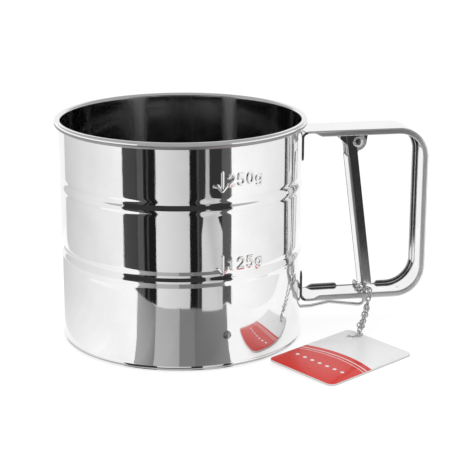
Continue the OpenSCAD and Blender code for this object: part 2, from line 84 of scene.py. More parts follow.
def put(name, data):
    """An object in the scene."""
    thing = bpy.data.objects.new(name, data)
    scene.collection.objects.link(thing)
    return thing


def make_camera():
    camera = put("camera", bpy.data.cameras.new("camera"))
    camera.data.sensor_width = CAMERA_SENSOR
    camera.data.lens = CAMERA_LENS
    camera.data.clip_start = CAMERA_CLIP
    camera.location = CAMERA_AT
    camera.rotation_euler = (radians(90 - CAMERA_DOWN), 0, radians(CAMERA_PAN))
    scene.camera = camera


make_camera()


# Mesh helpers
# Steps of a smooth curve between given points, and the most of a straight that a rounded corner takes
CURVE_STEPS, CORNER_SHARE = 40, 0.49
# A path that starts steeper than this takes its first side from the X axis
STEEP = 0.9
# Places of the rings of a tube's domed end, as shares of a quarter turn
DOME_SHARES = (0.35, 0.75)
# A copied solid's points this near are welded, in metres, and its faces this flat are joined, in degrees
WELD, FLAT = 1e-6, 0.6
BEVEL_STEPS, BEVEL_PROFILE = 2, 0.6


def unit(v):
    v = np.asarray(v, float)
    return v / np.linalg.norm(v)


def full_turn(count):
    """Angles of so many points round a circle."""
    return np.arange(count) * 2 * pi / count


def smooth_all(mesh, sharp=None):
    """Shade all faces smooth, apart from edges over an angle in degrees."""
    for poly in mesh.polygons:
        poly.use_smooth = True
    if sharp is not None:
        mesh.set_sharp_from_angle(angle=radians(sharp))


def dress(name, mesh, materials, body, node, sharp=None):
    """A piece that stands for a node, and rides on a body where one is given."""
    smooth_all(mesh, sharp)
    piece = put(name, mesh)
    for material in materials:
        mesh.materials.append(material)
    if body:
        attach(piece, body)
    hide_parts(node)
    return piece


def new_mesh(name, points, faces):
    mesh = bpy.data.meshes.new(name)
    mesh.from_pydata([tuple(float(c) * MM for c in p) for p in points], [], faces)
    mesh.validate()
    mesh.update()
    return mesh


def make(name, shape, materials, node, sharp=None, body="shaker"):
    """A piece from a shape's points and faces."""
    return dress(name, new_mesh(name, *shape), materials, body, node, sharp)


def grid_faces(rows, cols, wrap_rows=False, wrap_cols=False):
    faces = []
    for i in range(rows if wrap_rows else rows - 1):
        for j in range(cols if wrap_cols else cols - 1):
            here, below = i * cols, ((i + 1) % rows) * cols
            after = (j + 1) % cols
            faces.append((here + j, here + after, below + after, below + j))
    return faces


def resample(line, step):
    """Points about every step along a line of points."""
    along = np.concatenate([[0], np.cumsum(np.linalg.norm(np.diff(line, axis=0), axis=1))])
    count = max(2, int(round(along[-1] / step)) + 1)
    at = np.linspace(0, along[-1], count)
    return np.stack([np.interp(at, along, line[:, k]) for k in range(3)], 1)


def smooth_path(points, step):
    """Points about every step along a Catmull-Rom curve through the given points."""
    p = np.array(points, float)
    p = np.vstack([2 * p[0] - p[1], p, 2 * p[-1] - p[-2]])
    fine = []
    for i in range(1, len(p) - 2):
        for t in np.linspace(0, 1, CURVE_STEPS, endpoint=False):
            fine.append(0.5 * (2 * p[i] + (p[i + 1] - p[i - 1]) * t
                               + (2 * p[i - 1] - 5 * p[i] + 4 * p[i + 1] - p[i + 2]) * t ** 2
                               + (3 * p[i] - p[i - 1] - 3 * p[i + 1] + p[i + 2]) * t ** 3))
    return resample(np.array(fine + [p[-2]]), step)


def rounded(points, radius, steps=8):
    """The points of a bent line with each corner turned into an arc of about that radius."""
    p = [np.array(q, float) for q in points]
    out = [p[0]]
    for a, b, c in zip(p, p[1:], p[2:]):
        u, v = unit(a - b), unit(c - b)
        half = acos(max(-1, min(1, u @ v))) / 2
        room = CORNER_SHARE * min(np.linalg.norm(a - b), np.linalg.norm(c - b))
        reach = min(radius / tan(half), room)
        for t in np.linspace(0, 1, steps + 1):
            out.append((1 - t) ** 2 * (b + u * reach) + 2 * t * (1 - t) * b + t ** 2 * (b + v * reach))
    return np.array(out + [p[-1]])


def frames(path, closed=False):
    """A path's direction at each point, and two directions square to it, carried along without twist."""
    n = len(path)
    if closed:
        ways = [unit(path[(i + 1) % n] - path[i - 1]) for i in range(n)]
    else:
        ways = [unit(path[min(i + 1, n - 1)] - path[max(i - 1, 0)]) for i in range(n)]
    steep = abs(ways[0][2]) >= STEEP
    u = unit(np.cross(ways[0], (1.0, 0, 0) if steep else (0, 0, 1.0)))
    us, vs = [], []
    for way in ways:
        u = unit(u - way * (u @ way))
        us.append(u)
        vs.append(np.cross(way, u))
    return ways, us, vs


def tube(path, radius, sides, closed=False, round_ends=True):
    """Points and faces of a round tube along a path; open ends are closed by small domes or flat."""
    ways, us, vs = frames(path, closed)
    rings = [(p, radius, u, v) for p, u, v in zip(path, us, vs)]
    if not closed and round_ends:
        for share in DOME_SHARES:
            lift, shrink = radius * sin(share * pi / 2), cos(share * pi / 2)
            rings.insert(0, (path[0] - ways[0] * lift, radius * shrink, us[0], vs[0]))
            rings.append((path[-1] + ways[-1] * lift, radius * shrink, us[-1], vs[-1]))
    points = [p + r * (cos(a) * u + sin(a) * v) for p, r, u, v in rings for a in full_turn(sides)]
    faces = grid_faces(len(rings), sides, wrap_rows=closed, wrap_cols=True)
    if not closed:
        faces.append(tuple(range(sides - 1, -1, -1)))
        faces.append(tuple(range((len(rings) - 1) * sides, len(rings) * sides)))
    return points, faces


def lathe(outline, centre, way, side, up, count):
    """Points and faces of an outline, as (along, radius), turned round a line."""
    points = [centre + way * along + r * (cos(b) * side + sin(b) * up)
              for along, r in outline for b in full_turn(count)]
    return points, grid_faces(len(outline), count, wrap_cols=True)


def joined(shapes):
    """Several shapes as one."""
    points, faces = [], []
    for some_points, some_faces in shapes:
        base = len(points)
        points.extend(some_points)
        faces.extend(tuple(i + base for i in face) for face in some_faces)
    return points, faces


def bake(piece):
    """Work a piece's modifiers into its mesh."""
    bpy.context.view_layer.update()
    done = bpy.data.meshes.new_from_object(piece.evaluated_get(bpy.context.evaluated_depsgraph_get()))
    piece.modifiers.clear()
    piece.data = done


def keep_flats(piece):
    """Shade flat faces as flat right up to the rounded edges beside them."""
    change = piece.modifiers.new("flats", "WEIGHTED_NORMAL")
    change.keep_sharp = True
    bake(piece)


def refined(node, material, body, bevel, sharp=35, cuts=()):
    """A copy of a node's solid with its flat faces joined, cut along planes, and its edges rounded."""
    bm = bmesh.new()
    bm.from_mesh(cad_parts[node].data)
    bmesh.ops.remove_doubles(bm, verts=bm.verts, dist=WELD)
    bmesh.ops.dissolve_limit(bm, angle_limit=radians(FLAT), verts=bm.verts, edges=bm.edges)
    for spot, way in cuts:
        everything = bm.verts[:] + bm.edges[:] + bm.faces[:]
        bmesh.ops.bisect_plane(bm, geom=everything, plane_co=Vector(spot) * MM, plane_no=way)
    edges = [e for e in bm.edges if len(e.link_faces) == 2 and e.calc_face_angle(0) > radians(sharp)]
    bmesh.ops.bevel(bm, geom=edges, offset=bevel * MM, segments=BEVEL_STEPS, profile=BEVEL_PROFILE,
                    affect="EDGES", clamp_overlap=True)
    name = node + "_piece"
    mesh = bpy.data.meshes.new(name)
    bm.to_mesh(mesh)
    bm.free()
    piece = dress(name, mesh, [material], body, node, sharp)
    keep_flats(piece)
    return piece


# Shader helpers
class Nodes:
    """Short ways to add and join the shader nodes of one material or world."""

    def __init__(self, owner):
        owner.use_nodes = True
        self.owner = owner
        self.tree = owner.node_tree
        self.tree.nodes.clear()

    def add(self, kind, values=(), **settings):
        """Outputs of a new node, whose inputs are joined to other outputs or set to numbers or colours."""
        node = self.tree.nodes.new("ShaderNode" + kind)
        for key, setting in settings.items():
            setattr(node, key, setting)
        for key, value in dict(values).items():
            if isinstance(value, bpy.types.NodeSocket):
                self.tree.links.new(value, node.inputs[key])
            else:
                node.inputs[key].default_value = value
        return node.outputs

    def place(self):
        return self.add("TexCoord")["Object"]

    def split(self, vector):
        return tuple(self.add("SeparateXYZ", {0: vector}))

    def math(self, operation, a, b=0.0):
        return self.add("Math", {0: a, 1: b}, operation=operation)[0]

    def noise(self, vector, scale, detail=3.0, roughness=0.5):
        values = {"Vector": vector, "Scale": scale, "Detail": detail, "Roughness": roughness}
        return self.add("TexNoise", values)["Fac"]

    def ranged(self, value, low, high, to_low=0.0, to_high=1.0):
        values = {"Value": value, "From Min": low, "From Max": high, "To Min": to_low, "To Max": to_high}
        return self.add("MapRange", values)["Result"]

    def mix(self, share, first, second, blend="MIX"):
        """A colour between two."""
        return self.add("Mix", {0: share, 6: first, 7: second}, data_type="RGBA", blend_type=blend)[2]

    def bump(self, height, distance, normal=None):
        values = {"Strength": 1.0, "Distance": distance, "Height": height}
        if normal is not None:
            values["Normal"] = normal
        return self.add("Bump", values)["Normal"]

    def seen(self):
        """1 where the camera looks, also by way of metal or glass, and 0 for the light on other things."""
        path = self.add("LightPath")
        mirrored = self.math("MAXIMUM", path["Is Camera Ray"], path["Is Glossy Ray"])
        return self.math("MAXIMUM", mirrored, path["Is Transmission Ray"])

    def output(self, shader, kind="OutputMaterial"):
        self.add(kind, {"Surface": shader})

    def surface(self, values):
        self.output(self.add("BsdfPrincipled", values)["BSDF"])


def new_material(name):
    return Nodes(bpy.data.materials.new(name))


def grey(tone):
    return (tone, tone, tone, 1)


# Steels
# How closely streaks lie along X, Y and Z, per metre; round the cup, along its arc and its height
ROUND_CUP = (2600, 1, 60)
ALONG_BAR, DOWN_LEVER, ALONG_SHEET = (900, 60, 900), (900, 900, 50), (700, 60, 700)
WIRE_GRAIN, CHAIN_GRAIN, MESH_GRAIN = (300, 300, 300), (500, 500, 500), (900, 900, 300)
SMUDGE_SCALE, WAVE_SCALE = 45.0, 38.0
# Detail and roughness of the noise in streaks and smudges, and in the slow wave
STEEL_NOISE, WAVE_NOISE = (4.0, 0.6), (1.0, 0.4)
# Levels of the noise between which streaks, smudges and stains come up
STREAK_LEVELS, SMUDGE_LEVELS, STAIN_LEVELS = (0.35, 0.75), (0.45, 0.75), (0.4, 0.8)
# A stain's share of the tone, and a streak's depth as a share of the wave's
STAIN_TONE, STREAK_DEPTH = 0.9, 0.06


def steel(name, tone, rough, ways, streak=0.1, smudge=0.1, wave=0.00003, bands=(), bar_shade=None):
    """Polished or drawn steel: fine streaks one way, faint smudges and a slow waviness in its reflections.

    Each band is a duller stretch round the cup: its middle and half width in degrees, and extra roughness.
    Painted shade makes the edges of the handle's two bars darker than those of its grip, by the factor
    given for the bars.
    """
    n = new_material(name)
    place = n.place()
    flat = place
    if ways == ROUND_CUP:
        x, y, z = n.split(place)
        arc = n.math("MULTIPLY", n.math("ARCTAN2", y, x), CUP_R * MM)
        flat = n.add("CombineXYZ", {"X": arc, "Z": z})[0]
    scaled = n.add("Mapping", {"Vector": flat, "Scale": ways})[0]
    lines = n.noise(scaled, 1.0, *STEEL_NOISE)
    smudges = n.noise(place, SMUDGE_SCALE, *STEEL_NOISE)
    lines_rough = n.ranged(lines, *STREAK_LEVELS, 0.0, streak)
    smudge_rough = n.ranged(smudges, *SMUDGE_LEVELS, 0.0, smudge)
    total = n.math("ADD", n.math("ADD", lines_rough, smudge_rough), rough)
    for middle, half, extra in bands:
        off = n.math("ABSOLUTE", n.math("SUBTRACT", arc, radians(middle) * CUP_R * MM))
        total = n.math("ADD", total, n.ranged(off, 0.0, radians(half) * CUP_R * MM, extra, 0.0))
    colour = n.mix(n.ranged(smudges, *STAIN_LEVELS), grey(tone), grey(tone * STAIN_TONE))
    # Painted shade on the turned-in edges of the handle's upper and lower bars
    if bar_shade:
        height = n.split(place)[2]
        off = n.math("ABSOLUTE", n.math("SUBTRACT", height, (HANDLE_TOP + HANDLE_Z) / 2 * MM))
        reach = (HANDLE_TOP - HANDLE_Z) / 2
        on_bar = n.ranged(off, (reach - 3 * EDGE_H) * MM, (reach - EDGE_H) * MM)
        colour = n.mix(on_bar, colour, grey(bar_shade), "MULTIPLY")
    slow = n.bump(n.noise(place, WAVE_SCALE, *WAVE_NOISE), wave)
    n.surface({"Metallic": 1.0, "Roughness": total, "Base Color": colour,
               "Normal": n.bump(lines, wave * STREAK_DEPTH, slow)})
    return n.owner


cup_steel = steel("cup_steel", 0.9, 0.025, ROUND_CUP, streak=0.03, smudge=0.03, wave=0.00006)
# The inside's lower tone is painted shade deep in the cup; its bands are rougher stretches
inside_shade_steel = steel("inside_shade_steel", 0.55, 0.1, ROUND_CUP, streak=0.05, smudge=0.06, wave=0.00005,
                     bands=((103, 5, 0.3), (108, 9, 0.15), (56.2, 5, 0.5)))
rim_steel = steel("rim_steel", 0.82, 0.09, ROUND_CUP, streak=0.05, smudge=0.05)
# Painted shade in the crease under the rolled rim, on a rougher finish
curl_shade_steel = steel("curl_shade_steel", 0.36, 0.3, ROUND_CUP, smudge=0.08)
handle_steel = steel("handle_steel", 0.9, 0.03, ALONG_BAR, streak=0.04, smudge=0.04)
# The turned-in edges: rougher, with painted shade on the bars
rolled_steel = steel("rolled_steel", 0.95, 0.4, ALONG_BAR, smudge=0.06, bar_shade=0.64)
# Nearly black: painted shade on the tabs' edges against the cup's wall
tab_shade_steel = steel("tab_shade_steel", 0.1, 0.25, ALONG_BAR)
lever_steel = steel("lever_steel", 0.86, 0.05, DOWN_LEVER, streak=0.06, smudge=0.06)
ear_steel = steel("ear_steel", 0.95, 0.4, ALONG_BAR, smudge=0.06)
# Darker and rougher: painted shade along the trigger's folds
fold_shade_steel = steel("fold_shade_steel", 0.34, 0.35, DOWN_LEVER)
sheet_steel = steel("sheet_steel", 0.5, 0.2, ALONG_SHEET, smudge=0.08, wave=0.00002)
wire_steel = steel("wire_steel", 0.62, 0.16, WIRE_GRAIN, wave=0.00001)
rivet_steel = steel("rivet_steel", 0.34, 0.16, WIRE_GRAIN, wave=0.00001)
chain_steel = steel("chain_steel", 0.62, 0.08, CHAIN_GRAIN, streak=0.08, smudge=0.06, wave=0.00001)
mesh_steel = steel("mesh_steel", 0.55, 0.2, MESH_GRAIN, wave=0.00001)


# Chain: small oval links along the same points as in the part's source, from the clasp to the tag
CHAIN_ROUTE = [(73, -22.2, 4.1), (77.5, -13.5, 7.4), (79.3, -7, 10.3), (77.9, -2, 10.6), (77.9, 8.5, 10.6),
               (77.9, 10, 11.6), (77.9, 9.5, 13.6), (77.9, 7, 14.1), (77.9, -2.5, 14.1), (78.2, -4.3, 14.2),
               (79.2, -6.3, 15.5), (79.7, -8.2, 16.3), (79.7, -9.8, 14.6), (78.6, -11.9, 13),
               (76.5, -15.7, 10.4), (73.5, -21.5, 6.8), (70.5, -27.4, 3.25)]
CHAIN_STEP = 0.25
LINK_LEN, LINK_WIDE, LINK_D = 3.4, 2.3, 0.6
LINK_POINTS, LINK_SIDES = 20, 6
# A link's roll in degrees, its turn from the link before, and a slow sway of both
LINK_ROLL, LINK_TURN, LINK_SWAY, SWAY_STEP = 40, 90, 9, 1.7


def link_loop(centre, way, side):
    """Centre line of one oval link."""
    straight, r = (LINK_LEN - LINK_WIDE) / 2, (LINK_WIDE - LINK_D) / 2
    loop = []
    for a in full_turn(LINK_POINTS):
        shift = straight if cos(a) > 0 else -straight
        loop.append(centre + way * (shift + r * cos(a)) + side * r * sin(a))
    return loop


def make_chain(line):
    spots = resample(line, LINK_LEN - 2 * LINK_D)
    shapes = []
    for i, (spot, way, u, v) in enumerate(zip(spots, *frames(spots))):
        roll = radians(LINK_ROLL + LINK_TURN * (i % 2) + LINK_SWAY * sin(SWAY_STEP * i))
        side = cos(roll) * u + sin(roll) * v
        shapes.append(tube(link_loop(spot, way, side), LINK_D / 2, LINK_SIDES, closed=True))
    return make("chain_links", joined(shapes), [chain_steel], "tag_chain")


chain_line = smooth_path(CHAIN_ROUTE, CHAIN_STEP)
chain = make_chain(chain_line)


# Clasp and tag ring: closed wire rings
RING_POINTS, RING_SIDES = 32, 10
# Any direction that no ring's axis has
OFF_AXIS = (0.3, 0.5, 0.8)


def make_ring(name, centre, axis, r, node):
    u = unit(np.cross(axis, OFF_AXIS))
    v = np.cross(axis, u)
    loop = [centre + r * (cos(a) * u + sin(a) * v) for a in full_turn(RING_POINTS)]
    shape = tube(loop, RING_WIRE_R, RING_SIDES, closed=True)
    return make(name, shape, [chain_steel], node)


def tag_point(x, y, z):
    """A place on the tag, which lies with one long edge on the surface, in the row's frame."""
    y, z = y * cos(TAG_TIP) - z * sin(TAG_TIP), y * sin(TAG_TIP) + z * cos(TAG_TIP)
    return (TAG_PLACE[0] + x * cos(TAG_TURN) - y * sin(TAG_TURN),
            TAG_PLACE[1] + x * sin(TAG_TURN) + y * cos(TAG_TURN), z)


def make_tag_ring():
    x, y, z = TAG_HOLE[0] + TAG_RING_IN + TAG_RING_R, TAG_HOLE[1], TAG_T / 2
    centre = np.array(tag_point(x, y, z))
    ahead = tag_point(x, y + sin(TAG_RING_TILT), z + cos(TAG_RING_TILT))
    return make_ring("tag_ring_piece", centre, np.array(ahead) - centre, TAG_RING_R, "tag_ring")


clasp = make_ring("chain_clasp_piece", np.array(CLASP_AT), unit(CLASP_AXIS), CLASP_R, "chain_clasp")
tag_ring = make_tag_ring()


# Tag: laminated card printed in two colours
# The print, from the middle of the tag's lower edge: red as far as an arc, with white rules and dots
PRINT_SOFT = 0.12
ARC_MIDDLE, ARC_BEND, RED_TO = 16.0, 0.012, 2.0
RULE_WIDE, RULE_THIN = (-1.2, -0.7), (-3.0, -2.7)
DOTS_AT, DOT_PITCH, DOT_R, DOTS_SPAN = -12.0, 4.0, 0.8, (4.0, 32.0)
CARD_WHITE, CARD_RED, CARD_WORN = (0.87, 0.87, 0.88, 1), (0.68, 0.022, 0.012, 1), grey(0.95)
CARD_GRAIN, CARD_WAVE, CARD_WAVE_DEPTH = 900.0, 60.0, 0.00012
WORN_LEVELS, GLOSS_LEVELS, GLOSS_ROUGH = (0.45, 0.8), (0.3, 0.7), (0.26, 0.36)
FIBRE_PALE, FIBRE_DARK, FIBRE_SCALE, FIBRE_DEPTH = (0.8, 0.8, 0.79, 1), grey(0.6), 1500.0, 0.00005
# The softened edge: how far its lines lie inside the outline, and how far below the face
CORNER_POINTS, EDGE_DROP, EASED_IN, EASED_DROP, FACE_IN = 10, 0.12, 0.06, 0.03, 0.16
# Lines across the face, as shares of the way from the outline to the hole
FACE_SHARES = (0.25, 0.5, 0.75, 0.92)


def tag_material():
    n = new_material("tag_print")
    x, y, _ = n.split(n.add("UVMap", uv_map="card")[0])

    def past(value, at):
        return n.ranged(value, at - PRINT_SOFT, at + PRINT_SOFT)

    def short_of(value, at):
        return n.math("SUBTRACT", 1.0, past(value, at))

    def band(value, low, high):
        return n.math("MULTIPLY", past(value, low), short_of(value, high))

    def square(value):
        return n.math("MULTIPLY", value, value)

    arc = n.math("ADD", x, n.math("MULTIPLY", square(n.math("SUBTRACT", y, ARC_MIDDLE)), ARC_BEND))
    rules = n.math("ADD", band(arc, *RULE_WIDE), band(arc, *RULE_THIN))
    dot_x = n.math("SUBTRACT", x, DOTS_AT)
    dot_y = n.math("SUBTRACT", n.math("MODULO", y, DOT_PITCH), DOT_PITCH / 2)
    dot_far = n.math("SQRT", n.math("ADD", square(dot_x), square(dot_y)))
    dots = n.math("MULTIPLY", short_of(dot_far, DOT_R), band(y, *DOTS_SPAN))
    white = n.math("MINIMUM", n.math("ADD", rules, dots), 1.0)
    red = n.math("MULTIPLY", short_of(arc, RED_TO), n.math("SUBTRACT", 1.0, white))
    place = n.place()
    grain = n.noise(place, CARD_GRAIN)
    printed = n.mix(red, CARD_WHITE, CARD_RED)
    worn = n.mix(n.ranged(grain, *WORN_LEVELS), printed, CARD_WORN, "MULTIPLY")
    n.surface({"Coat Weight": 0.2, "Coat Roughness": 0.06, "IOR": 1.4, "Base Color": worn,
               "Roughness": n.ranged(grain, *GLOSS_LEVELS, *GLOSS_ROUGH),
               "Normal": n.bump(n.noise(place, CARD_WAVE, 2.0), CARD_WAVE_DEPTH)})
    return n.owner


def tag_edge_material():
    n = new_material("tag_edge")
    fibre = n.noise(n.place(), FIBRE_SCALE)
    n.surface({"Roughness": 0.7, "Base Color": n.mix(fibre, FIBRE_PALE, FIBRE_DARK),
               "Normal": n.bump(fibre, FIBRE_DEPTH)})
    return n.owner


def tag_outline(inset):
    c = TAG_CORNER
    out = []
    for cx, cy, start in ((TAG_L / 2 - c, c, -90), (TAG_L / 2 - c, TAG_W - c, 0),
                          (c - TAG_L / 2, TAG_W - c, 90), (c - TAG_L / 2, c, 180)):
        for k in range(CORNER_POINTS + 1):
            a = radians(start + 90 * k / CORNER_POINTS)
            out.append((cx + (c - inset) * cos(a), cy + (c - inset) * sin(a)))
    return out


def make_tag():
    """Card with rounded corners, a softened edge and a ring hole, laid out from its outline to its hole."""
    outline, eased, face = tag_outline(0), tag_outline(EASED_IN), tag_outline(FACE_IN)
    hole = []
    for x, y in outline:
        a = atan2(y - TAG_HOLE[1], x - TAG_HOLE[0])
        hole.append((TAG_HOLE[0] + TAG_HOLE_R * cos(a), TAG_HOLE[1] + TAG_HOLE_R * sin(a)))
    inner = [[(ox + (hx - ox) * share, oy + (hy - oy) * share) for (ox, oy), (hx, hy) in zip(face, hole)]
             for share in FACE_SHARES]
    loops = [(outline, EDGE_DROP), (outline, TAG_T - EDGE_DROP), (eased, TAG_T - EASED_DROP), (face, TAG_T)]
    loops += [(line, TAG_T) for line in inner]
    loops += [(hole, TAG_T), (hole, 0.0)]
    loops += [(line, 0.0) for line in reversed(inner)]
    loops += [(face, 0.0), (eased, EASED_DROP)]
    flat = [spot for line, _ in loops for spot in line]
    points = [tag_point(x, y, z) for line, z in loops for x, y in line]
    shape = points, grid_faces(len(loops), len(outline), wrap_rows=True, wrap_cols=True)
    piece = make("hang_tag_piece", shape, [tag_material(), tag_edge_material()], "hang_tag",
                 sharp=40)
    layer = piece.data.uv_layers.new(name="card")
    for loop in piece.data.loops:
        layer.data[loop.index].uv = flat[loop.vertex_index]
    for poly in piece.data.polygons:
        row = poly.index // len(outline)
        if row <= 2 or row >= len(loops) - 2:
            poly.material_index = 1
    return piece


tag = make_tag()


# Cup: one sheet from hem to rim, with pressed beads and pressed fill marks
def ellipse(cx, cy, rx, ry, start=0, end=360, count=16):
    return [(cx + rx * cos(radians(a)), cy + ry * sin(radians(a)))
            for a in np.linspace(start, end, count + 1)]


# Strokes of each letter, in shares of its height
GLYPHS = {
    "0": [ellipse(0.3, 0.5, 0.28, 0.5, count=20)],
    "1": [[(0.1, 0.78), (0.32, 1.0), (0.32, 0.0)]],
    "2": [ellipse(0.3, 0.7, 0.29, 0.3, 170, -20, 9) + [(0.48, 0.44), (0.0, 0.0), (0.6, 0.0)]],
    "5": [[(0.55, 1.0), (0.1, 1.0), (0.05, 0.55)] + ellipse(0.28, 0.32, 0.31, 0.32, 125, -140, 11)],
    "g": [ellipse(0.28, 0.34, 0.27, 0.32),
          [(0.56, 0.68), (0.56, -0.06)] + ellipse(0.3, -0.06, 0.26, 0.26, 0, -150, 6)],
}
# Each mark's letters, the top and tip of its arrow, and the foot of its letters
MARKS = (("250g", 80.3, 73.0, 75.0), ("125g", 46.6, 39.4, 41.2))
# Places of the arrows and of the first letters, in degrees right of the view line
ARROW_PSI, DIGITS_PSI = 18.4, 21.2
ARROW_WIDE, ARROW_TALL = 2.1, 2.4
MARK_H, MARK_PITCH, MARK_W, MARK_RISE = 4.2, 4.15, 0.9, 0.3
# How far a stroke's foot reaches past its width, and the width of its slope
MARK_FOOT, MARK_SLOPE = 0.15, 0.45
# Least squared length to divide by, because one stroke of the g holds a point twice
LEAST_SQUARE = 1e-9
# Steps between the wall's rows on a bead, over a mark and elsewhere, and the least that is kept
BEAD_STEP, MARK_STEP, WALL_STEP, LEAST_STEP = 0.25, 0.17, 2.5, 0.06
# How near to a whole wall step a row counts as one
ON_STEP = 0.01
WALL_TOP, MARK_MARGIN, BEAD_MARGIN = 90, 1, 0.1
# The part of the wall that holds the marks, and the steps on it and elsewhere, in degrees
MARKED_FROM, MARKED_TO, MARKED_STEP, PLAIN_STEP = 16, 44.5, 0.2, 1.2
HEM_STEPS, RIM_STEPS = 10, 40
# The curl's rougher underside with painted shade, in degrees from the wall, and the rows at its inner end
# that take the inside's painted shade
CURL_UNDER, CURL_INSIDE_ROWS = 128, 4
# Height of the bead's wave before it is scaled
WAVE_PEAK = sin(pi / 3) * (1 + cos(pi / 3))


def bead_offset(z):
    """How far the wall stands out of its plain radius: each bead has a groove above and a ridge below."""
    out = 0.0
    for centre in BEADS:
        t = (z - centre) / BEAD_H
        if abs(t) < 0.5:
            a = 2 * pi * t
            out -= BEAD_DEPTH * sin(a) * (1 + cos(a)) / WAVE_PEAK
    return out


def mark_lines():
    """Strokes of the two fill marks as segments in (arc length, height) on the wall."""
    strokes = []
    x = radians(ARROW_PSI) * CUP_R
    start = radians(DIGITS_PSI) * CUP_R
    for text, top, tip, foot in MARKS:
        strokes.append([(x, top), (x, tip)])
        strokes.append([(x - ARROW_WIDE, tip + ARROW_TALL), (x, tip), (x + ARROW_WIDE, tip + ARROW_TALL)])
        for k, letter in enumerate(text):
            left = start + k * MARK_PITCH
            for line in GLYPHS[letter]:
                strokes.append([(left + u * MARK_H, foot + v * MARK_H) for u, v in line])
    return np.array([(a, b) for line in strokes for a, b in zip(line, line[1:])])


def mark_height(psi, z, segments):
    """How far the pressed marks stand out at points of the wall."""
    p = np.stack([np.radians(psi) * CUP_R, z], -1)
    nearest = np.full(len(p), np.inf)
    for a, b in segments:
        ab = b - a
        t = np.clip(((p - a) @ ab) / max(ab @ ab, LEAST_SQUARE), 0, 1)
        nearest = np.minimum(nearest, np.linalg.norm(p - a - t[:, None] * ab, axis=1))
    s = np.clip((MARK_W / 2 + MARK_FOOT - nearest) / MARK_SLOPE, 0, 1)
    return MARK_RISE * s * s * (3 - 2 * s)


def spread(low, high, step):
    return list(np.linspace(low, high, max(2, int(round((high - low) / step)) + 1)))


def wall_heights():
    """Heights of the wall's outer rows, and those of them that the plainer inner side needs."""
    fine = set()
    for centre in BEADS:
        fine.update(np.round(spread(centre - BEAD_H / 2, centre + BEAD_H / 2, BEAD_STEP), 3))
    for _, top, tip, _ in MARKS:
        fine.update(np.round(spread(tip - MARK_MARGIN, top + MARK_MARGIN, MARK_STEP), 3))
    fine.update(np.round(spread(WALL_STEP, WALL_TOP, WALL_STEP), 3))
    fine = sorted(fine)
    outer = [fine[0]] + [b for a, b in zip(fine, fine[1:]) if b - a > LEAST_STEP]
    inner = [z for z in outer if any(abs(z - c) < BEAD_H / 2 + BEAD_MARGIN for c in BEADS)
             or abs(z / WALL_STEP % 1) < ON_STEP]
    return outer, inner


def make_cup():
    hem_c = (CUP_R - WALL / 2, HEM_R - HEM_FLAT)
    rim_c = (CUP_R - WALL + RIM_R, CUP_H - RIM_R)
    hem_wall = degrees(acos(WALL / 2 / HEM_R))
    hem_foot = degrees(acos((HEM_R - HEM_FLAT) / HEM_R))
    rim_from = 180 + degrees(acos((rim_c[0] - CUP_R) / RIM_R))
    rim_to = 540
    outer_z, inner_z = wall_heights()
    hem_out = ellipse(*hem_c, HEM_R, HEM_R, hem_foot - 90, hem_wall, HEM_STEPS)
    outer = [(CUP_R + bead_offset(z), z) for z in outer_z]
    rim = ellipse(*rim_c, RIM_R, RIM_R, rim_from, rim_to, RIM_STEPS)
    inner = [(CUP_R - WALL + bead_offset(z), z) for z in reversed(inner_z)]
    hem_in = ellipse(*hem_c, HEM_R, HEM_R, 180 - hem_wall, 270 - hem_foot, HEM_STEPS)
    profile = hem_out + outer + rim + inner + hem_in
    outer_row = len(hem_out)
    rim_row = outer_row + len(outer)
    curl_row = rim_row + round(CURL_UNDER / (rim_to - rim_from) * RIM_STEPS)
    inner_row = rim_row + len(rim)

    psi = np.array(spread(MARKED_FROM, MARKED_TO, MARKED_STEP)
                   + spread(MARKED_TO, MARKED_FROM + 360, PLAIN_STEP)[1:-1])
    azimuth = np.radians(psi + VIEW_AZ)
    marked = (psi >= MARKED_FROM) & (psi <= MARKED_TO)
    segments = mark_lines()
    points = []
    for row, (r, z) in enumerate(profile):
        radius = np.full(len(psi), r)
        if outer_row <= row < rim_row:
            radius[marked] += mark_height(psi[marked], np.full(marked.sum(), z), segments)
        points.extend(zip(radius * np.cos(azimuth), radius * np.sin(azimuth), np.full(len(psi), z)))
    shape = points, grid_faces(len(profile), len(psi), wrap_rows=True, wrap_cols=True)
    piece = make("cup_shell", shape, [cup_steel, inside_shade_steel, rim_steel, curl_shade_steel],
                 "cup_body", sharp=60)
    # Faces of the inside, and of the curl's underside, take the materials with painted shade
    for poly in piece.data.polygons:
        rows = [v // len(psi) for v in poly.vertices]
        closing = min(rows) == 0 and max(rows) == len(profile) - 1
        if closing or min(rows) < rim_row - 1:
            poly.material_index = 0
        elif min(rows) >= inner_row - CURL_INSIDE_ROWS:
            poly.material_index = 1
        else:
            poly.material_index = 2 if min(rows) >= curl_row else 3


make_cup()


# Handle: one strip with turned-in edges, swept along its bends
WALL_GAP, TAB_CORNER_R = 0.02, 3.0
TAB_STEP, BAR_STEP, GRIP_STEP = 0.6, 0.5, 2.0
TAB_BEND_STEPS, CORNER_STEPS = 12, 28
# The strip follows the cup's wall up to the first of these distances from it, and is flat from the second
WALL_FROM, WALL_TO = 0.3, 3
# The turned-in edges rise from the first of these places to the second, about where they start
RISE_FROM, RISE_TO = -0.5, 3.5
# Slope at the ends of the notch in the far edge of the lower bar, and the low lip that runs through it
NOTCH_SLOPE, NOTCH_LIP = 1.5, 0.2
EDGE_R, EDGE_FOOT_R, EDGE_HOLD = 0.8, 0.2, 0.04
FOLD_POINTS, TIP_POINTS, FOOT_POINTS = 9, 6, 5
# Last point of an edge's section that lies on its outer side or round its tip
EDGE_SIDE = FOLD_POINTS + 2 * TIP_POINTS - 1
# Edges this near to the wall belong to the tabs, and take painted shade where they meet the wall
TAB_DARK = 1.8
SLOT_CLEAR, SLOT_BELOW, SLOT_ABOVE, SLOT_POINTS = 0.7, 2, 3, 12
HANDLE_SHARP = 50


